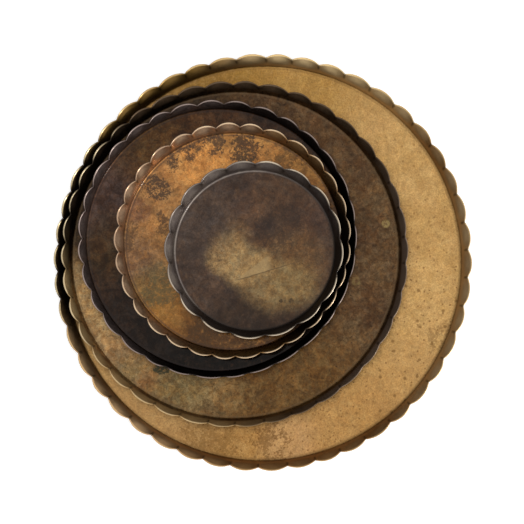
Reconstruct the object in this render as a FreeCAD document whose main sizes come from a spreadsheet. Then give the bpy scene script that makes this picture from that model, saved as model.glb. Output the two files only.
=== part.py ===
"""Nested set of five round brass trays with scalloped rims.

Each tray is one sheet of brass: a flat floor, a bend at the foot, and a low wall pressed into lobes
that swell outwards as they rise, with a lip that flares at the top. The trays lie loose inside each
other, each flat on the floor of the next larger one and off its centre.

Frame: millimetres, +Z up, origin on the underside of the largest tray, at its centre.
"""

import FreeCAD, Part
import math
import os

import Sketcher

# Sizes shared by every tray.
SHARED = {
    "gauge": 1.0,  # thickness of the sheet
    "wall_height": 16.0,  # underside to the top of the lip
    "wall_shift": 1.2,  # outer wall to inner wall, measured level
    "foot_bend": 4.0,  # outer radius of the bend between floor and wall
    "wall_lean": 1.0,  # level run of the smooth wall behind the lobes, foot to lip
    "lobe_start": 4.0,  # height at which the lobes leave the smooth wall
    "lobe_sink": 0.2,  # how far inside the smooth wall a lobe starts
    "lip_run": 2.6,  # level run of the flared lip
    "lip_rise": 3.0,  # height of the flared lip
}

# One row per tray, from the bottom of the stack to the top. turn is the angle of one lobe from +X.
TRAYS = {
    "base_tray": {
        "lobes": 46, "tip_radius": 228.5, "lobe_depth": 4.2, "foot_radius": 219.0,
        "centre_x": 0.0, "centre_y": 0.0, "turn": -1.0,
    },
    "second_tray": {
        "lobes": 38, "tip_radius": 190.0, "lobe_depth": 4.6, "foot_radius": 182.2,
        "centre_x": -30.3, "centre_y": 8.7, "turn": 0.6,
    },
    "third_tray": {
        "lobes": 31, "tip_radius": 153.0, "lobe_depth": 4.6, "foot_radius": 147.0,
        "centre_x": -49.0, "centre_y": 24.6, "turn": -0.6,
    },
    "fourth_tray": {
        "lobes": 29, "tip_radius": 130.0, "lobe_depth": 4.8, "foot_radius": 121.8,
        "centre_x": -32.2, "centre_y": 22.2, "turn": 5.3,
    },
    "top_tray": {
        "lobes": 17, "tip_radius": 98.0, "lobe_depth": 4.0, "foot_radius": 90.1,
        "centre_x": -8.45, "centre_y": 12.15, "turn": -7.9,
    },
}


def make_sheet(doc):
    """The spreadsheet of driving dimensions, one aliased cell each."""
    sheet = doc.addObject("Spreadsheet::Sheet", "sizes")
    cells = dict(SHARED)
    for name, tray in TRAYS.items():
        for key, value in tray.items():
            cells[f"{name}_{key}"] = value
    for row, (alias, value) in enumerate(cells.items(), start=1):
        sheet.set(f"A{row}", alias)
        sheet.set(f"B{row}", str(value))
        sheet.setAlias(f"B{row}", alias)
    doc.recompute()
    return sheet


def origin_feature(body, role):
    """One of the body's own origin planes or axes."""
    return next(f for f in body.Origin.OriginFeatures if f.Role == role)


def profile_sketch(body, name, corners, sizes):
    """A closed outline on the body's XZ plane. Each corner is a pair of expressions: radius, height."""
    sketch = body.newObject("Sketcher::SketchObject", name)
    sketch.AttachmentSupport = [(origin_feature(body, "XZ_Plane"), "")]
    sketch.MapMode = "FlatFace"
    points = [FreeCAD.Vector(sizes(across), sizes(up), 0) for across, up in corners]
    count = len(points)
    for i in range(count):
        sketch.addGeometry(Part.LineSegment(points[i], points[(i + 1) % count]), False)
    for i in range(count):
        sketch.addConstraint(Sketcher.Constraint("Coincident", i, 2, (i + 1) % count, 1))
    for i, (across, up) in enumerate(corners):
        place_corner(sketch, i, "DistanceX", points[i].x, across)
        place_corner(sketch, i, "DistanceY", points[i].y, up)
    return sketch


def place_corner(sketch, line, kind, value, expression):
    """Dimensions a line's first point from the sketch's origin, bound to the spreadsheet."""
    index = sketch.addConstraint(Sketcher.Constraint(kind, -1, 1, line, 1, value))
    if expression != "0":
        sketch.setExpression(f"Constraints[{index}]", expression)


def turned(body, kind, name, sketch, axis):
    """A full-turn Revolution or Groove of a sketch about one of its own lines or axes."""
    feature = body.newObject(f"PartDesign::{kind}", name)
    feature.Profile = sketch
    feature.ReferenceAxis = (sketch, [axis])
    feature.Angle = 360
    return feature


def patterned(body, name, original, lobes):
    """Repeats a feature round the tray's axis, once for each lobe."""
    pattern = body.newObject("PartDesign::PolarPattern", name)
    pattern.Originals = [original]
    pattern.Axis = (origin_feature(body, "Z_Axis"), [""])
    pattern.Angle = 360
    pattern.setExpression("Occurrences", lobes)
    body.Tip = pattern
    return pattern


def round_edge(doc, body, name, radius, height):
    """Fillets the tray's one full circle that lies outermost at a given height."""
    doc.recompute()
    tip = body.Tip
    rings = [
        (edge.Curve.Radius, f"Edge{i}")
        for i, edge in enumerate(tip.Shape.Edges, start=1)
        if isinstance(edge.Curve, Part.Circle)
        and abs(edge.Curve.Center.z - height) < 1e-6
        and abs(edge.Length - 2 * math.pi * edge.Curve.Radius) < 1e-3
    ]
    fillet = body.newObject("PartDesign::Fillet", name)
    fillet.Base = (tip, [max(rings)[1]])
    fillet.setExpression("Radius", radius)
    body.Tip = fillet
    return fillet


def wall_expressions(name):
    """Expressions for one tray's radii, as text that reads the spreadsheet."""
    tip = f"sizes.{name}_tip_radius"
    foot = f"sizes.{name}_foot_radius"
    lobes = f"sizes.{name}_lobes"
    valley = f"({tip} - sizes.{name}_lobe_depth)"
    slope = "sizes.wall_lean / sizes.wall_height"
    return {
        "lobes": lobes,
        "tip": tip,
        "foot": foot,
        "top": f"({foot} + sizes.wall_lean)",
        "floor": f"({foot} + {slope} * sizes.gauge)",
        "start": f"({foot} + {slope} * sizes.lobe_start - sizes.lobe_sink)",
        "flare": f"({tip} - sizes.lip_run)",
        # Radius at which the lobes' own upright axes stand, so that each lobe is a circle in plan
        # that runs through its tip and both of its valleys.
        "axis": f"(({tip}^2 - {valley}^2) / (2 * ({tip} - {valley} * cos(180deg / {lobes}))))",
    }


def lobe_corners(wall, inset):
    """Half section of one lobe about its own axis. The last side is that axis."""
    return [
        (wall["axis"], "sizes.lobe_start"),
        (f"{wall['start']}{inset}", "sizes.lobe_start"),
        (f"{wall['flare']}{inset}", "sizes.wall_height - sizes.lip_rise"),
        (f"{wall['tip']}{inset}", "sizes.wall_height"),
        (wall["axis"], "sizes.wall_height"),
    ]


def build_tray(doc, sizes, name, level):
    """One tray as a PartDesign body: turned dish and lobes, then the same again as its hollow."""
    wall = wall_expressions(name)
    inset = " - sizes.wall_shift"
    body = doc.addObject("PartDesign::Body", name)
    body.Label = name

    dish = [
        ("0", "0"),
        (wall["foot"], "0"),
        (wall["top"], "sizes.wall_height"),
        ("0", "sizes.wall_height"),
    ]
    turned(body, "Revolution", "dish", profile_sketch(body, "dish_section", dish, sizes), "V_Axis")
    round_edge(doc, body, "foot_bend", "sizes.foot_bend", 0.0)
    section = profile_sketch(body, "lobe_section", lobe_corners(wall, ""), sizes)
    lobe = turned(body, "Revolution", "lobe", section, "Edge5")
    patterned(body, "lobe_ring", lobe, wall["lobes"])

    hollow = [
        ("0", "sizes.gauge"),
        (f"{wall['floor']}{inset}", "sizes.gauge"),
        (f"{wall['top']}{inset}", "sizes.wall_height"),
        ("0", "sizes.wall_height"),
    ]
    doc.recompute()
    turned(body, "Groove", "dish_hollow", profile_sketch(body, "hollow_section", hollow, sizes), "V_Axis")
    round_edge(doc, body, "floor_bend", "sizes.foot_bend - sizes.gauge", SHARED["gauge"])
    section = profile_sketch(body, "lobe_hollow_section", lobe_corners(wall, inset), sizes)
    lobe_hollow = turned(body, "Groove", "lobe_hollow", section, "Edge5")
    patterned(body, "lobe_hollow_ring", lobe_hollow, wall["lobes"])

    body.setExpression("Placement.Base.x", f"sizes.{name}_centre_x * 1 mm")
    body.setExpression("Placement.Base.y", f"sizes.{name}_centre_y * 1 mm")
    body.setExpression("Placement.Base.z", f"{level} * sizes.gauge * 1 mm")
    body.setExpression("Placement.Rotation.Angle", f"sizes.{name}_turn * 1 deg")
    doc.recompute()
    return body


def check(doc, bodies):
    """Stops the script if any object failed to build or any tray isn't one sound solid."""
    for item in doc.Objects:
        if {"Invalid", "Error"} & set(item.State):
            raise RuntimeError(f"{item.Name} did not build: {item.State}")
    for body in bodies:
        shape = body.Shape
        if shape.isNull() or not shape.isValid() or len(shape.Solids) != 1:
            raise RuntimeError(f"{body.Label} is not one valid solid")


def main():
    doc = FreeCAD.newDocument("brass_trays")
    sheet = make_sheet(doc)

    def sizes(expression):
        """The number that an expression over the spreadsheet gives, for a sketch's starting shape."""
        if expression == "0":
            return 0.0
        value = sheet.evalExpression(expression.replace("sizes.", ""))
        return float(getattr(value, "Value", value))

    bodies = [build_tray(doc, sizes, name, level) for level, name in enumerate(TRAYS)]
    check(doc, bodies)
    os.makedirs("parts", exist_ok=True)
    for body in bodies:
        box = body.Shape.BoundBox
        print(
            f"{body.Label}: {body.Shape.Volume:.0f} mm3, {len(body.Shape.Faces)} faces, "
            f"x {box.XMin:.2f} to {box.XMax:.2f}, z {box.ZMin:.2f} to {box.ZMax:.2f}"
        )
        body.Shape.exportStep(f"parts/{body.Label}.step")


main()
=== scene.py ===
"""Looks for the nested brass trays: five pressed sheet trays with aged, patinated surfaces.

Lengths are in millimetres in the row frame, and become metres where a mesh or node is made. Only the
floor, lamp and camera at the end are given in metres.
"""

import math

import bmesh
import bpy
import numpy as np
from mathutils import Matrix, Vector


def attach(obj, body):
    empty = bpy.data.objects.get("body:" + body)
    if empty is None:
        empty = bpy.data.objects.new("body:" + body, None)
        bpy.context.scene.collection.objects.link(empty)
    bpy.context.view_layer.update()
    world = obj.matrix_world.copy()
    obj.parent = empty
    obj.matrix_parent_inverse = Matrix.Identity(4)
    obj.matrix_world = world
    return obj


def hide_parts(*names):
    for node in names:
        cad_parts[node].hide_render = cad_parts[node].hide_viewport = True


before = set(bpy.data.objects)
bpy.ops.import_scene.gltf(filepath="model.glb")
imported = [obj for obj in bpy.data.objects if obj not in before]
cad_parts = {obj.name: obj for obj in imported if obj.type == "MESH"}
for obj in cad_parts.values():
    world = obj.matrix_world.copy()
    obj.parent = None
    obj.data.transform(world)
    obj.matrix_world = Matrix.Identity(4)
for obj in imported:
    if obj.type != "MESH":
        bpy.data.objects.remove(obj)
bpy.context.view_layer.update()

MM = 0.001

# Sizes shared by every tray, as in the CAD model.
GAUGE = 1.0
WALL_HEIGHT = 16.0
WALL_SHIFT = 1.2  # outer wall to inner wall, measured level
FOOT_BEND = 4.0  # outer radius of the bend between floor and wall

# turn is the angle of one lobe from +X and warp how far the lobes crowd to one side, both in degrees.
# jitter is how far valleys wander, as a share of a lobe. steps is how many mesh points go to one lobe.
# faded is how much shallower the lobes are at their most worn.
TRAYS = {
    "base_tray": dict(lobes=46, tip=228.5, depth=4.2, foot=219.0, x=0.0, y=0.0, level=0, turn=-1.0,
                      warp=0.0, jitter=0.05, seed=11, steps=16, faded=0.10),
    "second_tray": dict(lobes=38, tip=190.0, depth=4.6, foot=182.2, x=-30.3, y=8.7, level=1, turn=0.6,
                        warp=0.0, jitter=0.05, seed=12, steps=18, faded=0.55),
    "third_tray": dict(lobes=31, tip=153.0, depth=4.6, foot=147.0, x=-49.0, y=24.6, level=2, turn=-0.6,
                       warp=0.0, jitter=0.09, seed=13, steps=20, faded=0.70),
    "fourth_tray": dict(lobes=29, tip=130.0, depth=4.8, foot=121.8, x=-32.2, y=22.2, level=3, turn=5.3,
                        warp=0.0, jitter=0.05, seed=14, steps=20, faded=0.35),
    "top_tray": dict(lobes=17, tip=98.0, depth=4.0, foot=90.1, x=-8.45, y=12.15, level=4, turn=-7.9,
                     warp=4.2, jitter=0.04, seed=15, steps=30, faded=0.15),
}


# ---------------------------------------------------------------------------- tray meshes

WARP_TOWARDS = math.radians(25)  # the direction that warp is measured from
WORN_TOWARDS = math.radians(-40)  # the direction in which the lobes are shallowest
LOBES_FROM = FOOT_BEND * 0.75  # height at which the wall starts to leave the foot
SWELL_POWER = 2.1  # how full a lobe is between its valleys
BEND_END = 78  # degrees of the foot bend before the wall takes over
EDGE_RADIUS = GAUGE * 0.5
FLOOR_DIP = 0.10  # how far the floor's edge lies under the sheet's top face, and its middle under that
EDGE_DIP = 0.3  # how far the rounded edge lies, on average, under the wall's full height
RIM_DIP = 0.25  # how far the top of the wall is lowered to meet it
RIM_WAVES = ((3, 0.22), (7, 0.12))  # waves round the rim, and each one's height
WALL_FLARE_FROM = 8.0  # height from which the wall follows the rim's waves
FLOOR_WAVE = 0.09  # how far the floor rises and falls about its mean
EASE_HEIGHT = 1.2  # height above the bend within which the inner wall keeps near a plain round one
CENTRE = 0.01  # radius of the tiny ring in a tray's middle, merged into one point
MERGE_WITHIN = 0.02
SHARP_FROM = math.radians(38)


def smooth(edge0, edge1, x):
    """0 below edge0, 1 above edge1, and an S curve between."""
    t = np.clip((x - edge0) / (edge1 - edge0), 0, 1)
    return t * t * (3 - 2 * t)


def sine_cosine(degrees):
    """Sine and cosine of an angle in degrees."""
    return math.sin(math.radians(degrees)), math.cos(math.radians(degrees))


def lobe_angles(tray):
    """Angles round the tray, each with how far across its lobe it lies (-1 to 1) and its lobe's depth."""
    rng = np.random.RandomState(tray["seed"])
    count, steps = tray["lobes"], tray["steps"]
    pitch = 2 * math.pi / count
    valleys = math.radians(tray["turn"]) + pitch * (np.arange(count) + 0.5)
    valleys += math.radians(tray["warp"]) * np.cos(valleys - WARP_TOWARDS)
    valleys += pitch * tray["jitter"] * rng.uniform(-1, 1, count)
    ends = np.append(valleys[1:], valleys[0] + 2 * math.pi)
    share = np.arange(steps) / steps
    angle = (valleys[:, None] + (ends - valleys)[:, None] * share[None, :]).ravel()
    across = np.tile(2 * share - 1, count)
    worn = 0.5 + 0.5 * np.cos(angle - WORN_TOWARDS)
    depth = 1 - tray["faded"] * smooth(0.15, 0.95, worn)
    return angle, across, depth


def wall_radius(tray, height, swell, depth):
    """Outer radius of the wall at a height above the tray's underside, for lobes of a given swell.

    depth is each lobe's depth as a share of the full one. A shallow lobe keeps its tip, so its
    valleys stand further out.
    """
    u = np.clip((height - LOBES_FROM) / (WALL_HEIGHT - LOBES_FROM), 0, 1)
    valley_top = tray["tip"] - tray["depth"] * depth
    valley = tray["foot"] + (valley_top - tray["foot"]) * u ** 1.3
    grow = 0.55 * smooth(0.05, 0.9, u) + 0.45 * u ** 3.4
    return valley + tray["depth"] * depth * swell * grow


def floor_sag(tray, angle, radius):
    """Slight unevenness of the floor, never above the sheet's own top face."""
    t = radius / tray["foot"]
    wave = np.sin(2 * angle + 3.9 * t + tray["seed"]) * np.sin(math.pi * np.clip(t, 0, 1) ** 1.5)
    return -FLOOR_DIP + FLOOR_WAVE * wave * smooth(0.02, 0.3, t)


def inner_rings(tray, angle, swell, depth, rim_wave):
    """Rings of radius and height from the middle of the floor out to the top of the inner wall."""
    level = np.ones(len(angle))
    floor_z = GAUGE - FLOOR_DIP
    inner_foot = tray["foot"] - WALL_SHIFT
    bend = FOOT_BEND - GAUGE
    floor_edge = inner_foot - bend
    rings = []
    for t in np.linspace(0.0, 1.0, 22) ** 0.8:
        r = level * (floor_edge * t if t > 0 else CENTRE)
        rings.append((r, floor_z + floor_sag(tray, angle, r) * (1 - t ** 12)))
    for a in np.linspace(0, BEND_END, 8)[1:]:
        s, c = sine_cosine(a)
        rings.append((level * (floor_edge + bend * s), level * (floor_z + bend * (1 - c))))
    low = floor_z + bend * (1 - sine_cosine(BEND_END)[1])
    for h in np.linspace(low, WALL_HEIGHT - EDGE_RADIUS, 17)[1:]:
        top = smooth(WALL_FLARE_FROM, WALL_HEIGHT, h)
        r = wall_radius(tray, h + RIM_DIP, swell, depth) - WALL_SHIFT + 0.02 * (1 - top)
        if h < low + EASE_HEIGHT:
            r = r * 0.5 + 0.5 * (inner_foot + 0.05 * h)
        rings.append((r, h + rim_wave * top - RIM_DIP * top))
    return rings


def edge_rings(tray, swell, depth, rim_wave):
    """Rings over the rounded edge of the lip, from inside to outside."""
    middle = wall_radius(tray, WALL_HEIGHT, swell, depth) - WALL_SHIFT * 0.5
    base = WALL_HEIGHT - EDGE_RADIUS - EDGE_DIP + rim_wave
    rings = []
    for a in np.linspace(20, 160, 5):
        s, c = sine_cosine(a)
        rings.append((middle - WALL_SHIFT * 0.5 * c, base + EDGE_RADIUS * s))
    return rings


def outer_rings(tray, swell, depth, rim_wave):
    """Rings down the outer wall, round the foot bend and in to the middle of the underside."""
    level = np.ones(len(swell))
    flat_radius = tray["foot"] - FOOT_BEND
    rings = []
    for h in np.linspace(WALL_HEIGHT - EDGE_RADIUS, FOOT_BEND * (1 - sine_cosine(BEND_END)[1]), 13):
        top = smooth(WALL_FLARE_FROM, WALL_HEIGHT, h)
        rings.append((wall_radius(tray, h, swell, depth), h + rim_wave * top - RIM_DIP * top))
    for a in np.linspace(BEND_END, 0, 7):
        s, c = sine_cosine(a)
        rings.append((level * (flat_radius + FOOT_BEND * s), level * (FOOT_BEND * (1 - c))))
    for t in (0.75, 0.5, 0.25, 0.0):
        rings.append((level * (flat_radius * t if t > 0 else CENTRE), level * 0.0))
    return rings


def tray_mesh(name, tray):
    """One closed sheet: floor, bend, lobed wall, rounded edge, and the same again outside."""
    rng = np.random.RandomState(tray["seed"] + 100)
    angle, across, depth = lobe_angles(tray)
    swell = 1 - np.abs(across) ** SWELL_POWER
    rim_wave = sum(height * np.sin(waves * angle + rng.uniform(0, 6)) for waves, height in RIM_WAVES)
    rings = inner_rings(tray, angle, swell, depth, rim_wave) + edge_rings(tray, swell, depth, rim_wave)
    outside_from = len(rings) - 1
    rings += outer_rings(tray, swell, depth, rim_wave)

    n = len(angle)
    verts = np.empty((len(rings), n, 3))
    for k, (r, z) in enumerate(rings):
        verts[k, :, 0] = tray["x"] + r * np.cos(angle)
        verts[k, :, 1] = tray["y"] + r * np.sin(angle)
        verts[k, :, 2] = tray["level"] * GAUGE + z
    index = np.arange(len(rings) * n).reshape(len(rings), n)
    nxt = np.roll(index, -1, axis=1)
    quads = np.stack([index[:-1], nxt[:-1], nxt[1:], index[1:]], axis=-1).reshape(-1, 4)
    mesh = bpy.data.meshes.new(name)
    mesh.from_pydata((verts.reshape(-1, 3) * MM).tolist(), [], quads.tolist())
    slots = np.repeat((np.arange(len(rings) - 1) >= outside_from).astype(np.int32), n)
    mesh.polygons.foreach_set("material_index", slots)
    mesh.polygons.foreach_set("use_smooth", np.ones(len(quads), dtype=bool))
    lobe = mesh.attributes.new("lobe", "FLOAT", "POINT")  # 1 in the middle of a lobe, 0 in a valley
    lobe.data.foreach_set("value", np.tile(1 - np.abs(across), len(rings)).astype(np.float32))
    mesh.validate()
    bm = bmesh.new()
    bm.from_mesh(mesh)
    bmesh.ops.remove_doubles(bm, verts=bm.verts, dist=MERGE_WITHIN * MM)
    bmesh.ops.recalc_face_normals(bm, faces=bm.faces)
    bm.to_mesh(mesh)
    bm.free()
    mesh.set_sharp_from_angle(angle=SHARP_FROM)
    obj = bpy.data.objects.new(name, mesh)
    bpy.context.scene.collection.objects.link(obj)
    return obj


# ---------------------------------------------------------------------------- materials

SKY = 1.22  # radiance that the level floors reflect


def rgb(code):
    """A colour as the eye sees it (rrggbb) to the linear colour of the metal that gives it."""
    parts = [int(code[i:i + 2], 16) / 255 for i in (0, 2, 4)]
    linear = [c / 12.92 if c <= 0.04045 else ((c + 0.055) / 1.055) ** 2.4 for c in parts]
    return tuple(min(1.0, c / SKY) for c in linear) + (1.0,)


class Graph:
    """Short calls for building one material's nodes."""

    def __init__(self, name):
        self.material = bpy.data.materials.new(name)
        self.material.use_nodes = True
        self.tree = self.material.node_tree
        self.tree.nodes.clear()
        coords = self.tree.nodes.new("ShaderNodeTexCoord").outputs["Object"]
        self.point = self.vector("SCALE", coords, scale=1 / MM)  # millimetres

    def put(self, socket, value):
        """Feeds a socket from another socket, or sets it to a plain value."""
        if isinstance(value, bpy.types.NodeSocket):
            self.tree.links.new(value, socket)
        else:
            socket.default_value = value

    def math(self, operation, a, b=0.0, clamp=False):
        node = self.tree.nodes.new("ShaderNodeMath")
        node.operation, node.use_clamp = operation, clamp
        self.put(node.inputs[0], a)
        self.put(node.inputs[1], b)
        return node.outputs[0]

    def vector(self, operation, a, b=None, scale=None):
        node = self.tree.nodes.new("ShaderNodeVectorMath")
        node.operation = operation
        self.put(node.inputs[0], a)
        if b is not None:
            self.put(node.inputs[1], b)
        if scale is not None:
            node.inputs["Scale"].default_value = scale
        return node.outputs["Value" if operation in ("DISTANCE", "DOT_PRODUCT") else "Vector"]

    def noise(self, size, detail, rough, seed, distort=0.0, colour=False):
        """Noise whose features are about `size` millimetres."""
        node = self.tree.nodes.new("ShaderNodeTexNoise")
        node.noise_dimensions = "4D"
        node.inputs["W"].default_value = seed
        node.inputs["Scale"].default_value = 1.0 / size
        node.inputs["Detail"].default_value = detail
        node.inputs["Roughness"].default_value = rough
        node.inputs["Distortion"].default_value = distort
        self.put(node.inputs["Vector"], self.point)
        return node.outputs["Color" if colour else "Fac"]

    def drift(self, size, rough, seed):
        """A vector that wanders about zero, for bending the outlines of stains."""
        return self.vector("SUBTRACT", self.noise(size, 4, rough, seed, colour=True), (0.5, 0.5, 0.5))

    def moved(self, point, drift, scale):
        """The point moved along a drift vector."""
        return self.vector("ADD", point, self.vector("SCALE", drift, scale=scale))

    def cells(self, size, point):
        """Distance to the nearest of a scatter of points, in cell sizes, and that point's own colour."""
        node = self.tree.nodes.new("ShaderNodeTexVoronoi")
        node.voronoi_dimensions = "2D"
        node.inputs["Scale"].default_value = 1.0 / size
        self.put(node.inputs["Vector"], point)
        return node.outputs["Distance"], node.outputs["Color"]

    def step(self, value, low, high, out_low=0.0, out_high=1.0):
        """An S curve from out_low at low to out_high at high. low may be the greater of the two."""
        node = self.tree.nodes.new("ShaderNodeMapRange")
        node.interpolation_type = "SMOOTHSTEP"
        self.put(node.inputs["Value"], value)
        node.inputs["From Min"].default_value = low
        node.inputs["From Max"].default_value = high
        node.inputs["To Min"].default_value = out_low
        node.inputs["To Max"].default_value = out_high
        return node.outputs["Result"]

    def mix(self, share, a, b, blend="MIX"):
        node = self.tree.nodes.new("ShaderNodeMix")
        node.data_type, node.blend_type = "RGBA", blend
        # inputs 6 and 7 and output 2 are the ones for colours
        self.put(node.inputs["Factor"], share)
        self.put(node.inputs[6], a)
        self.put(node.inputs[7], b)
        return node.outputs[2]

    def lobe(self):
        """1 in the middle of a lobe, 0 in a valley."""
        node = self.tree.nodes.new("ShaderNodeAttribute")
        node.attribute_name = "lobe"
        return node.outputs["Fac"]

    def times(self, *factors):
        """The product of its factors, taken in order."""
        product = factors[0]
        for factor in factors[1:]:
            product = self.math("MULTIPLY", product, factor)
        return product

    def swing(self, value, reach):
        """A noise value's swing about its middle, times a reach."""
        return self.times(self.math("SUBTRACT", value, 0.5), reach)

    def axis(self, which, point):
        node = self.tree.nodes.new("ShaderNodeSeparateXYZ")
        self.put(node.inputs[0], point)
        return node.outputs[which]

    def flat(self, point):
        """The point with its height dropped."""
        return self.vector("MULTIPLY", point, (1.0, 1.0, 0.0))

    def near(self, point, x, y, radius, soft):
        """1 within a round patch centred at x, y, falling to 0 round its edge."""
        away = self.vector("DISTANCE", point, (x, y, 0.0))
        return self.step(away, radius * (1 + soft), radius * (1 - soft))

    def line(self, point, x0, y0, x1, y1):
        """How far along and how far to the left of a line each point lies, and the line's length."""
        length = math.hypot(x1 - x0, y1 - y0)
        ux, uy = (x1 - x0) / length, (y1 - y0) / length
        shifted = self.vector("SUBTRACT", point, (x0, y0, 0.0))
        along = self.vector("DOT_PRODUCT", shifted, (ux, uy, 0.0))
        left = self.vector("DOT_PRODUCT", shifted, (-uy, ux, 0.0))
        return along, left, length

    def stained_and_painted_light(self, colour, point, stains, evenness=None):
        """A colour with a list of round patches laid over it in turn: stains, and in some lists painted
        light and shade.
        """
        for x, y, radius, soft, code, strength in stains:
            share = self.near(point, x, y, radius, soft)
            if evenness is not None:
                share = self.times(share, evenness)
            colour = self.mix(self.times(share, strength), colour, rgb(code))
        return colour

    def metal(self, colour, roughness, height, coat, bump):
        """The surface shader, with uniform values on its own sockets."""
        shader = self.tree.nodes.new("ShaderNodeBsdfPrincipled")
        shader.inputs["Metallic"].default_value = 1.0
        shader.inputs["Coat Weight"].default_value = coat
        shader.inputs["Coat Roughness"].default_value = 0.10
        self.put(shader.inputs["Base Color"], colour)
        self.put(shader.inputs["Roughness"], roughness)
        relief = self.tree.nodes.new("ShaderNodeBump")
        relief.inputs["Strength"].default_value = bump
        relief.inputs["Distance"].default_value = MM
        self.put(relief.inputs["Height"], height)
        self.tree.links.new(relief.outputs["Normal"], shader.inputs["Normal"])
        output = self.tree.nodes.new("ShaderNodeOutputMaterial")
        self.tree.links.new(shader.outputs[0], output.inputs["Surface"])
        return self.material


# Feature size and roughness of the two drifts, then feature size, detail and roughness of each noise.
BROAD = (38, 0.6)
FINE = (7, 0.65)
CLOUD = (30, 5, 0.62)
GRAIN = (2.6, 4, 0.7)
FLECKS = (1.4, 3, 0.7)
UNEVEN = (4.5, 6, 0.78)
PATCHES = (15, 6, 0.72)
PALE_PATCHES = (19, 6, 0.72)
SPECKLE = (2.8, 6, 0.8)
CLUMPS = (13, 3, 0.6)
BREAKS = (3.0, 4, 0.7)
WALL_CLOUD = (12, 4, 0.65)
DENTS = (22, 2, 0.5)
OUTER_CLOUD = (34, 5, 0.65)
OUTER_GRAIN = (2.8, 4, 0.7)
OUTER_DENTS = (20, 2, 0.5)

DRIFT = 34.0  # how far broad tones wander, unless a tray's look says otherwise
FINE_DRIFT = 7.0  # how much further they wander in small steps
SPOT_DRIFT = 2.2  # how far the outlines of spots and folds wander
RING_DRIFT = 5.0
FLECK = 0.22  # how much flecks darken or lighten what they lie on
SPECK_PULL = 0.22  # how much a cluster adds to the speckle inside it
WEDGE_SLOPE = 0.38  # how fast a fold's pale wedge widens along it
WEDGE_FULL, WEDGE_END = 38.0, 46.0  # how far along the fold the wedge reaches
WALL_BEGINS = -2.4  # where the wall's tone, with its painted light and shade, starts, from the foot, unless a look says otherwise
WALL_BLEND = 1.8  # width over which the floor's tone becomes the wall's
WALL_SHARE = 0.85  # how much of the wall's tone covers what lies under it
CREASE = (-5.6, -4.4, -3.6, -2.4)  # where the crease begins, is full, fades and ends, from the foot
FOLD_FROM, FOLD_FULL = 7.0, 12.0  # heights between which the folds between lobes get painted shade
FOLD_SHADE_COLOUR = "1a130d"
FOLD_SHADE_SHARE = 0.6
EDGE_FROM, EDGE_FULL = 14.5, 15.4  # heights between which the metal turns to worn edge, partly a painted highlight
RUST = (1.14, 0.98, 0.78)

# Feature size, seed offset, and the tints at the two ends of each scale of mottling.
MOTTLING = (
    (17, 20, (0.66, 0.60, 0.56), (1.24, 1.24, 1.20)),
    (6.5, 21, (0.70, 0.64, 0.58), (1.20, 1.17, 1.14)),
)
COOL = (0.95, 1.00, 1.05)


def ground(g, seed, look, cloud, grain):
    """Two ground tones with dark patches, pale patches and grain over them."""
    colour = g.mix(g.step(cloud, 0.42, 0.58), rgb(look["ground"][0]), rgb(look["ground"][1]))
    patch = g.step(g.noise(*PATCHES, seed + 4, distort=0.6), 0.46, 0.62)
    colour = g.mix(g.times(patch, look["mottle"]), colour, rgb(look["mottle_colour"]))
    pale = g.step(g.noise(*PALE_PATCHES, seed + 14, distort=0.6), 0.52, 0.66)
    colour = g.mix(g.times(pale, look["pale"]), colour, rgb(look["pale_colour"]))
    return g.mix(g.step(grain, 0.48, 0.66, 0.0, look["grain"]), colour, rgb(look["grain_colour"]))


def mottled(g, colour, seed, look, fleck):
    """Mottling multiplied in, so it shows through every tone: two scales dark to pale, one cool to rusty."""
    contrast = look["contrast"]
    for size, offset, first, second in MOTTLING + ((9.5, 22, COOL, look.get("rust", RUST)),):
        blot = g.step(g.noise(size, 6, 0.74, seed + offset, distort=0.7), 0.40, 0.60)
        ends = [tuple(1 + (c - 1) * contrast for c in tint) + (1.0,) for tint in (first, second)]
        colour = g.mix(1.0, colour, g.mix(blot, *ends), blend="MULTIPLY")
    return g.mix(1.0, colour, g.step(fleck, 0.3, 0.7, 1.0 - FLECK, 1.0 + FLECK), blend="MULTIPLY")


def speckled(g, colour, seed, clusters, warped):
    """Clusters of dark speckle."""
    speck = g.noise(*SPECKLE, seed + 5)
    clump = g.step(g.noise(*CLUMPS, seed + 6), 0.30, 0.52)
    for x, y, radius, soft, code, strength in clusters:
        share = g.times(g.near(warped, x, y, radius, soft), clump)
        hits = g.step(g.math("ADD", speck, g.times(share, SPECK_PULL)), 0.64, 0.70)
        colour = g.mix(g.times(hits, g.step(share, 0.0, 0.5), strength), colour, rgb(code))
    return colour


def spotted(g, colour, spots, jagged, flat):
    """Scattered small round spots, over the whole tray where reach is 0."""
    for size, radius, keep, code, strength, x, y, reach in spots:
        distance, tint = g.cells(size, jagged)
        dot = g.times(g.step(distance, radius / size, 0.4 * radius / size),
                      g.step(g.axis(0, tint), keep, keep - 0.02))
        if reach:
            dot = g.times(dot, g.near(flat, x, y, reach, 0.4))
        colour = g.mix(g.times(dot, strength), colour, rgb(code))
    return colour


def folded(g, colour, folds, point):
    """Straight fold lines, each with a paler wedge on its left near its start."""
    for x0, y0, x1, y1, width, code, strength, pale_code, pale_strength in folds:
        along, left, length = g.line(point, x0, y0, x1, y1)
        wedge = g.times(
            g.step(left, -0.3, 0.5),
            g.step(g.math("SUBTRACT", left, g.times(along, WEDGE_SLOPE)), 1.0, -1.0),
            g.step(along, WEDGE_END, WEDGE_FULL),
            g.step(along, 0.0, 8.0),
            pale_strength,
        )
        colour = g.mix(wedge, colour, rgb(pale_code))
        mark = g.step(g.math("ABSOLUTE", left), width, width * 0.3)
        within = g.times(g.step(along, 0.0, 5.0), g.step(along, length, length * 0.6))
        colour = g.mix(g.times(mark, within, strength), colour, rgb(code))
    return colour


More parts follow.
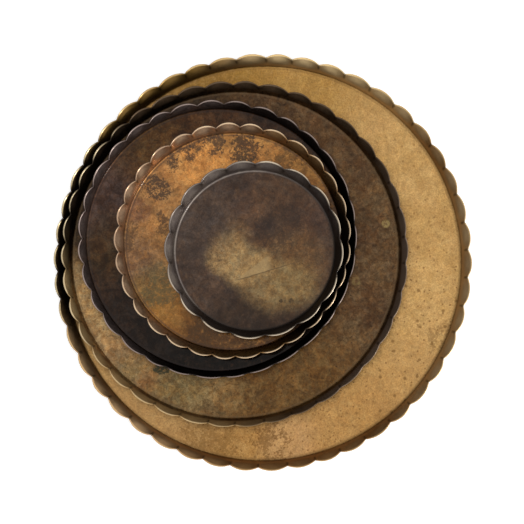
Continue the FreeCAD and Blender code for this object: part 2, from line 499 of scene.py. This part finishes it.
def ringed(g, colour, seed, rings, smeared):
    """Broken ring marks."""
    broken = g.step(g.noise(*BREAKS, seed + 10), 0.40, 0.56, 0.25, 1.0)
    for x, y, radius, width, code, strength in rings:
        out = g.vector("DISTANCE", smeared, (x, y, 0.0))
        gap = g.math("ABSOLUTE", g.math("SUBTRACT", out, radius))
        colour = g.mix(g.times(g.step(gap, width, width * 0.2), broken, strength), colour, rgb(code))
    return colour


def walled(g, colour, tray, look, flat, away, height):
    """The wall's tones, with painted light and shade on them, painted shade in the folds between the lobes,
    and a darker band in the crease at the floor's edge.
    """
    foot = tray["foot"]
    start = foot + look.get("wall_begins", WALL_BEGINS)
    begins, full, fading, ends = (foot + way for way in CREASE)
    blend = g.step(g.noise(*WALL_CLOUD, tray["seed"] + 8), 0.42, 0.6)
    # On most trays the wall's two tones are paler than the floor's, partly as painted light. The patches
    # laid over them are painted light and shade: paler where a wall faces the light, near black on its
    # shaded side and in narrow gaps between trays.
    tone = g.mix(blend, rgb(look["wall"][0]), rgb(look["wall"][1]))
    tone = g.stained_and_painted_light(tone, flat, look["wall_light_and_shade"])
    colour = g.mix(g.times(g.step(away, start, start + WALL_BLEND), WALL_SHARE), colour, tone)
    # painted shade in the folds between the lobes, from part way up the wall
    fold = g.times(g.step(g.lobe(), 0.16, 0.0), g.step(height, FOLD_FROM, FOLD_FULL))
    colour = g.mix(g.times(fold, FOLD_SHADE_SHARE), colour, rgb(FOLD_SHADE_COLOUR))
    crease = g.times(g.step(away, begins, full), g.step(away, ends, fading))
    return g.mix(g.times(crease, look["crease"]), colour, rgb(look["crease_colour"]))


def patina_and_painted_light(name, tray, look):
    """Aged brass for the inside of one tray: toned floor, stains and patches of painted shade, spots, a
    darker crease, painted light and shade on the wall, and a worn edge that also carries a painted
    highlight.
    """
    g = Graph(name)
    seed = tray["seed"]
    flat = g.flat(g.point)
    fine_drift = g.drift(*FINE, seed + 1)
    warped = g.moved(flat, g.drift(*BROAD, seed), look.get("drift", DRIFT))
    warped = g.flat(g.moved(warped, fine_drift, FINE_DRIFT))
    jagged = g.moved(flat, fine_drift, SPOT_DRIFT)
    smeared = g.flat(g.moved(flat, fine_drift, RING_DRIFT))
    away = g.vector("DISTANCE", flat, (tray["x"], tray["y"], 0.0))
    height = g.math("SUBTRACT", g.axis(2, g.point), float(tray["level"] * GAUGE))
    cloud = g.noise(*CLOUD, seed + 2)
    grain = g.noise(*GRAIN, seed + 3)
    fleck = g.noise(*FLECKS, seed + 7)
    uneven = g.step(g.noise(*UNEVEN, seed + 12), 0.36, 0.52, 0.55, 1.0)

    colour = ground(g, seed, look, cloud, grain)
    colour = g.stained_and_painted_light(colour, warped, look["tones"], uneven)
    colour = mottled(g, colour, seed, look, fleck)
    colour = speckled(g, colour, seed, look.get("clusters", ()), warped)
    colour = spotted(g, colour, look.get("spots", ()), jagged, flat)
    colour = folded(g, colour, look.get("folds", ()), g.flat(jagged))
    colour = ringed(g, colour, seed, look.get("rings", ()), smeared)
    colour = walled(g, colour, tray, look, flat, away, height)

    # worn edge, partly a painted highlight: ragged below, and broken off towards each valley
    edge = g.step(g.math("ADD", height, g.swing(grain, 1.2)), EDGE_FROM, EDGE_FULL)
    lip = g.times(edge, g.step(g.math("ADD", g.lobe(), g.swing(fleck, 0.6)), 0.10, 0.55))
    lip_highlight_colour = g.stained_and_painted_light(rgb(look["lip"]), flat, look.get("lip_light_and_shade", ()))
    colour = g.mix(g.times(lip, look["lip_share"]), colour, lip_highlight_colour)

    # roughness varies with cloud and grain, and the worn, highlighted edge is smoother
    rough = g.step(cloud, 0.3, 0.7, look["rough"][0], look["rough"][1])
    rough = g.math("ADD", rough, g.swing(grain, 0.12))
    rough = g.math("SUBTRACT", rough, g.times(lip, 0.16), clamp=True)

    # relief: grain and faint dents
    relief = g.math("ADD", g.times(grain, 0.25), g.times(g.noise(*DENTS, seed + 9), 1.6))
    return g.metal(colour, rough, relief, look["coat"], bump=0.25)


def outer_patina(name, code_a, code_b):
    """Dark brass for the outside and underside of a tray."""
    g = Graph(name)
    cloud = g.noise(*OUTER_CLOUD, 3.0)
    grain = g.noise(*OUTER_GRAIN, 4.0)
    colour = g.mix(g.step(cloud, 0.35, 0.66), rgb(code_a), rgb(code_b))
    colour = g.mix(g.step(grain, 0.42, 0.75, 0.0, 0.4), colour, rgb("241a12"))
    rough = g.step(cloud, 0.3, 0.7, 0.42, 0.6)
    relief = g.math("ADD", g.times(grain, 0.3), g.times(g.noise(*OUTER_DENTS, 6.0), 1.5))
    return g.metal(colour, rough, relief, coat=0.1, bump=0.3)


# Each tray's look. Colours are as the eye sees them (rrggbb), and strengths and softness are shares.
#   tones, clusters, and the wall's and lip's painted light and shade: x, y, radius, softness, colour,
#   strength
#   spots: spacing, radius, share kept, colour, strength, then x, y and reach of the part they cover
#   rings: x, y, radius, width, colour, strength
#   folds: x and y of each end, width, colour, strength, the paler wedge's colour and strength
LOOKS = {
    "base_tray": dict(
        ground=("bf995f", "cda76c"), mottle=0.3, mottle_colour="b88e58", grain=0.25, grain_colour="a87e48",
        pale=0.3, pale_colour="d2ac70",
        tones=[
            (-60, 195, 70, 0.5, "8e6a2e", 0.9), (40, 205, 70, 0.6, "a8803f", 0.7),
            (0, -215, 62, 0.35, "a57539", 0.6), (95, -190, 60, 0.4, "aa7c44", 0.6),
            (-70, -200, 36, 0.5, "a07840", 0.6), (30, -196, 30, 0.5, "c8a070", 0.6),
            (-120, -165, 80, 0.5, "b08a58", 0.85), (160, -135, 45, 0.5, "b08550", 0.4),
            # painted shade: this dark patch darkens the left of the floor, beside the gap between this
            # tray's wall and the next tray's
            (-215, 30, 110, 0.4, "3a2b1c", 0.95),
        ],
        clusters=[(10, -196, 26, 0.4, "6e4a22", 0.6), (200, -90, 26, 0.5, "7a5a34", 0.5),
                  (-60, -190, 40, 0.5, "7a5526", 0.5)],
        spots=[(14, 2.4, 0.34, "7e5c32", 0.75, 175, -90, 130), (7, 1.3, 0.3, "7e5a32", 0.75, 170, -100, 150),
               (11, 1.6, 0.3, "8a6638", 0.6, 200, 60, 120), (6, 1.2, 0.35, "744c22", 0.7, 0, -200, 90),
               (9, 1.2, 0.25, "8a663a", 0.5, 0, 0, 0)],
        wall=("c39f72", "a98558"),
        # painted shade at the left, in the gap beside the next tray, and darker at the upper left; painted
        # light making the wall paler at the lower left, bottom, right and upper right
        wall_light_and_shade=[(-215, 50, 120, 0.3, "1c1611", 0.95), (-120, 185, 80, 0.4, "84662c", 0.8),
                    (-140, -175, 110, 0.4, "f0c898", 0.9),
                    (0, -222, 100, 0.4, "cc9c66", 0.7), (215, -40, 130, 0.4, "f6d8a8", 0.95),
                    (75, 200, 100, 0.4, "f4d8a4", 0.9)],
        crease=0.4, crease_colour="7c5c34", lip="d8b47c", lip_share=0.6,
        # painted highlight: the lips made brighter at the left and at the top
        lip_light_and_shade=[(-200, 60, 130, 0.3, "f4dfb0", 0.95), (0, 228, 110, 0.4, "f0d090", 0.8)],
        contrast=0.26, rust=(1.10, 0.99, 0.86), rough=(0.38, 0.46), coat=0.12,
    ),
    "second_tray": dict(
        ground=("5e4833", "705a40"), mottle=0.5, mottle_colour="4c3a28", grain=0.4, grain_colour="3c2d1e",
        pale=0.4, pale_colour="7a6142",
        tones=[
            (-180, -70, 85, 0.45, "b89c70", 0.95), (-110, -140, 55, 0.5, "846a45", 0.8),
            (20, -150, 90, 0.5, "73572f", 0.7), (30, 165, 60, 0.5, "5c4632", 0.5),
            (-160, -95, 22, 0.6, "a88a64", 0.75), (-128, -128, 12, 0.5, "90684a", 0.35),
            (-70, -132, 44, 0.5, "927a54", 0.8), (-150, -118, 16, 0.6, "80785a", 0.5),
            (-88, -135, 24, 0.6, "706848", 0.5),
            # painted shade: the two dark patches on this line darken the floor and wall foot at the upper
            # left and left
            (-120, 150, 90, 0.5, "31281f", 0.85), (-200, 60, 60, 0.5, "2a211a", 0.9),
        ],
        clusters=[(-114, -116, 9, 0.4, "34382a", 0.9), (-60, -170, 20, 0.5, "4a3a24", 0.5)],
        spots=[(8, 0.9, 0.3, "2e2217", 0.7, 0, 0, 0), (4, 0.5, 0.3, "33261a", 0.6, 60, -60, 160)],
        rings=[(135.5, 40.5, 2.6, 2.6, "a08a58", 0.85), (102.5, -22, 3.2, 2.2, "8a7448", 0.6),
               (22.5, 179, 5.5, 2.2, "2e241c", 0.7)],
        wall=("564636", "665240"),
        # painted light making the wall paler at the lower left, left and right; painted shade at the upper
        # left
        wall_light_and_shade=[(-110, -160, 110, 0.4, "d0ac78", 0.9), (-215, -30, 60, 0.5, "c4a878", 0.8),
                    (-190, 90, 90, 0.4, "181310", 0.9), (130, -40, 120, 0.4, "a08c7c", 0.9)],
        wall_begins=-0.2, crease=0.35, crease_colour="6f5a40", lip="6a5844", lip_share=0.6,
        # painted highlight: the lips made brighter at the left and lower left
        lip_light_and_shade=[(-215, 20, 120, 0.3, "f0dcb4", 0.95), (-120, -150, 80, 0.4, "e8cc9c", 0.9)],
        contrast=0.8, rough=(0.44, 0.54), coat=0.12,
    ),
    "third_tray": dict(
        ground=("2f241e", "3f3026"), mottle=0.5, mottle_colour="4e3320", grain=0.35, grain_colour="201914",
        pale=0.3, pale_colour="4c3d36",
        tones=[
            (-150, 110, 70, 0.5, "523c30", 0.85), (-175, 60, 40, 0.5, "4a3c3a", 0.7),
            (-110, 140, 50, 0.5, "57401f", 0.75), (-165, 20, 30, 0.6, "4c3a20", 0.6),
            # painted shade: the near-black patch that ends this line and the two on the next darken the
            # lower part and right edge of the floor
            (-60, 155, 40, 0.5, "4a3320", 0.7), (-20, -90, 120, 0.3, "15110e", 1.0),
            (90, 20, 60, 0.4, "17120f", 0.95), (-140, -60, 50, 0.5, "241d1a", 0.8),
        ],
        wall=("7c6e6a", "988680"),
        # painted shade: the wall near black on the right, at the bottom and at the upper right
        wall_light_and_shade=[(80, -20, 130, 0.25, "15110e", 0.97), (-60, -115, 70, 0.4, "17130f", 0.95),
                    (20, 150, 70, 0.4, "2a221e", 0.8)],
        crease=0.4, crease_colour="2a2322", lip="a8968e", lip_share=0.75,
        contrast=1.0, rough=(0.4, 0.5), coat=0.2,
    ),
    "fourth_tray": dict(
        ground=("ae7c46", "c08f52"), mottle=0.45, mottle_colour="7a5632", grain=0.35, grain_colour="644526",
        pale=0.35, pale_colour="b98c54",
        tones=[
            (-120, 80, 50, 0.5, "a67c50", 0.7), (-62, 104, 32, 0.5, "d09654", 0.95),
            (-140, 57, 16, 0.35, "75523f", 0.8), (-140, 5, 30, 0.5, "6e5644", 0.85),
            (-122, -22, 18, 0.5, "625c44", 0.7), (-128, -38, 24, 0.5, "8a6838", 0.8),
            (-95, -65, 36, 0.5, "8e652f", 0.85),
            (-30, -85, 60, 0.4, "4c331c", 0.9), (60, -40, 60, 0.4, "2c2118", 0.95),
            (60, 80, 50, 0.5, "7a5426", 0.7), (85, 40, 40, 0.5, "3c2c1c", 0.9),
        ],
        clusters=[
            (-52, 134, 15, 0.5, "43342a", 0.85), (-19, 126, 22, 0.5, "3c2e24", 0.85),
            (-74, 128, 12, 0.5, "43342a", 0.8), (-90, 114, 16, 0.5, "43342a", 0.85),
            (24, 116, 20, 0.5, "4a3620", 0.6), (-20, 108, 14, 0.5, "4e3c28", 0.6),
            (-116, 82, 15, 0.5, "43342a", 0.85), (-108, 52, 10, 0.5, "43342a", 0.7),
            (-108, 36, 9, 0.5, "4a3524", 0.7), (-150, 30, 18, 0.5, "4a3524", 0.6),
            (-110, -30, 24, 0.5, "4c4a34", 0.6), (-60, -84, 24, 0.5, "4a3520", 0.7),
        ],
        spots=[(9, 0.9, 0.3, "5c3e22", 0.7, 0, 0, 0), (4.5, 0.6, 0.3, "4a3320", 0.6, -100, 60, 110)],
        rings=[(34, 116, 4.2, 1.6, "5a3f22", 0.7), (46, 109.5, 3.2, 1.4, "4c351e", 0.7),
               (-136, 57, 2.6, 1.2, "4a3526", 0.7)],
        wall=("b4967c", "caac8e"),
        # painted shade: the wall near black on the right; the other two patches make the bottom and upper
        # right darker and warmer
        wall_light_and_shade=[(60, -30, 110, 0.3, "2c2118", 0.95), (-30, -98, 60, 0.4, "9c7440", 0.8),
                    (50, 110, 60, 0.4, "a8804e", 0.8)],
        crease=0.55, crease_colour="463328", lip="e8cca8", lip_share=0.85,
        # the lips at the upper left toned down, so their painted highlight is fainter there
        lip_light_and_shade=[(-135, 70, 90, 0.3, "a08068", 0.8)],
        contrast=0.62, rough=(0.36, 0.46), coat=0.25,
    ),
    "top_tray": dict(
        ground=("44362f", "5a483c"), mottle=0.5, mottle_colour="382c28", grain=0.4, grain_colour="30251e",
        pale=0.35, pale_colour="74593f",
        tones=[
            (20, 45, 46, 0.5, "5c4233", 0.6), (45, -8, 30, 0.5, "6a5038", 0.7),
            (30, 0, 34, 0.6, "745a3a", 0.7), (-30, 26, 20, 0.6, "7a6244", 0.7),
            (-38, 8, 23, 0.35, "9c835c", 0.95), (-17, -8, 25, 0.3, "9c855e", 1.0),
            (6, -28, 30, 0.35, "8f7852", 0.95), (34, -28, 26, 0.5, "86704a", 0.9),
            (-22, -76, 40, 0.35, "33261c", 0.9), (30, -78, 30, 0.4, "3a2b1f", 0.85),
            (-70, 45, 34, 0.5, "524640", 0.7),
            (20, 66, 30, 0.5, "54402f", 0.7), (2, 42, 13, 0.6, "2e2422", 0.85),
            (33, 53, 12, 0.6, "3a2c26", 0.7), (-8, 52, 10, 0.5, "6e5440", 0.6),
        ],
        clusters=[(20, 38, 30, 0.5, "33271f", 0.5), (-70, 10, 26, 0.5, "3c2f28", 0.5)],
        spots=[(6, 0.7, 0.3, "30261c", 0.6, 0, 0, 0), (3.5, 0.45, 0.3, "30261c", 0.5, 30, 0, 90)],
        folds=[(-30, -21, 52, 3, 0.8, "5a4630", 0.75, "ae9468", 0.55)],
        rings=[(20.5, -43.5, 1.2, 1.6, "3c3020", 0.9), (31.5, -42.5, 1.4, 1.7, "3c3020", 0.9)],
        wall=("7e7470", "928880"),
        # painted shade: the wall near black on the right and at the bottom, and darker at the upper right
        wall_light_and_shade=[(50, -20, 75, 0.4, "1e1814", 0.95), (-30, -72, 56, 0.4, "241c17", 0.92),
                    (50, 75, 45, 0.4, "45403e", 0.7)],
        crease=0.3, crease_colour="2c231d", wall_begins=-4.2,
        lip="e4d3ba", lip_share=0.85,
        # painted shade: the lips at the upper left made dark, so their painted highlight shows only
        # elsewhere
        lip_light_and_shade=[(-80, 60, 82, 0.25, "6c625e", 0.9)],
        contrast=0.7, drift=18.0, rough=(0.42, 0.52), coat=0.3,
    ),
}

# Two tones for the outside of each tray.
OUTSIDES = {
    "base_tray": ("6b4f2b", "4a3720"),
    "second_tray": ("3a2d20", "2a2119"),
    "third_tray": ("2e2722", "221c19"),
    "fourth_tray": ("5e4226", "3a2a1a"),
    "top_tray": ("3a322c", "2a241f"),
}

for node, tray in TRAYS.items():
    piece = tray_mesh(node.replace("_tray", "_brass_tray"), tray)
    piece.data.materials.append(patina_and_painted_light(node.replace("_tray", "_patina_and_light"), tray, LOOKS[node]))
    piece.data.materials.append(outer_patina(node.replace("_tray", "_outside"), *OUTSIDES[node]))
    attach(piece, node)
    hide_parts(node)


# ---------------------------------------------------------------------------- floor, light, camera

# From here on, lengths are in metres.
FLOOR_HALF = 6.0
FLOOR_DROP = 0.0004
FLOOR_GLOW = 0.45
SKY_DIM, SKY_BRIGHT = 0.42, 1.30  # the sky's strength on its two sides


def make_floor():
    """A plain white floor that glows a little, so that shadows on it stay faint."""
    mesh = bpy.data.meshes.new("studio_floor")
    s = FLOOR_HALF
    mesh.from_pydata([(-s, -s, 0), (s, -s, 0), (s, s, 0), (-s, s, 0)], [], [(0, 1, 2, 3)])
    floor = bpy.data.objects.new("studio_floor", mesh)
    floor.location.z = -FLOOR_DROP
    bpy.context.scene.collection.objects.link(floor)
    material = bpy.data.materials.new("studio_floor")
    material.use_nodes = True
    shader = material.node_tree.nodes["Principled BSDF"]
    shader.inputs["Base Color"].default_value = (0.98, 0.98, 0.98, 1)
    shader.inputs["Roughness"].default_value = 0.9
    shader.inputs["Specular IOR Level"].default_value = 0.0
    shader.inputs["Emission Color"].default_value = (1, 1, 1, 1)
    shader.inputs["Emission Strength"].default_value = FLOOR_GLOW
    mesh.materials.append(material)


def make_sky():
    """Soft studio surround: bright overhead and low on the right, dim low on the left."""
    bright_side = Vector((0.80, -0.45, 0.55)).normalized()
    world = bpy.data.worlds.new("studio")
    bpy.context.scene.world = world
    world.use_nodes = True
    nodes, links = world.node_tree.nodes, world.node_tree.links
    background = nodes["Background"]
    coords = nodes.new("ShaderNodeTexCoord")
    facing = nodes.new("ShaderNodeVectorMath")
    facing.operation = "DOT_PRODUCT"
    facing.inputs[1].default_value = bright_side
    links.new(coords.outputs["Generated"], facing.inputs[0])
    span = nodes.new("ShaderNodeMapRange")
    span.interpolation_type = "SMOOTHSTEP"
    span.inputs["From Min"].default_value = -0.35
    span.inputs["From Max"].default_value = 0.55
    span.inputs["To Min"].default_value = SKY_DIM
    span.inputs["To Max"].default_value = SKY_BRIGHT
    links.new(facing.outputs["Value"], span.inputs["Value"])
    links.new(span.outputs["Result"], background.inputs["Strength"])
    background.inputs["Color"].default_value = (1.0, 0.985, 0.965, 1)


def make_lamp():
    """A small round lamp on the right, aimed at the set."""
    data = bpy.data.lights.new("lamp_right", "AREA")
    data.shape = "DISK"
    data.size, data.energy, data.color = 0.22, 12.0, (1.0, 0.97, 0.93)
    lamp = bpy.data.objects.new("lamp_right", data)
    lamp.location = (1.6, -0.9, 1.3)
    lamp.rotation_euler = (-lamp.location).to_track_quat("-Z", "Y").to_euler()
    bpy.context.scene.collection.objects.link(lamp)


def make_camera():
    """Nearly overhead, leaning a little towards the front right."""
    tilt, azimuth, distance = math.radians(7.0), math.radians(-55.0), 2.4
    seen = 0.5704  # width that the picture spans at the rims' height
    sensor = 36.0
    target = Vector((0.0006, -0.0017, WALL_HEIGHT * MM))
    lean = Vector((math.sin(tilt) * math.cos(azimuth), math.sin(tilt) * math.sin(azimuth), math.cos(tilt)))
    back = lean.normalized()
    right = Vector((0, 1, 0)).cross(back).normalized()
    up = back.cross(right)
    data = bpy.data.cameras.new("camera")
    data.sensor_width = sensor
    data.lens = sensor * distance / seen
    data.clip_start, data.clip_end = 0.05, 20.0
    camera = bpy.data.objects.new("camera", data)
    turn = Matrix((right, up, back)).transposed()
    camera.matrix_world = Matrix.Translation(target + back * distance) @ turn.to_4x4()
    bpy.context.scene.collection.objects.link(camera)
    bpy.context.scene.camera = camera


make_floor()
make_sky()
make_lamp()
make_camera()
bpy.context.scene.view_settings.view_transform = "Standard"
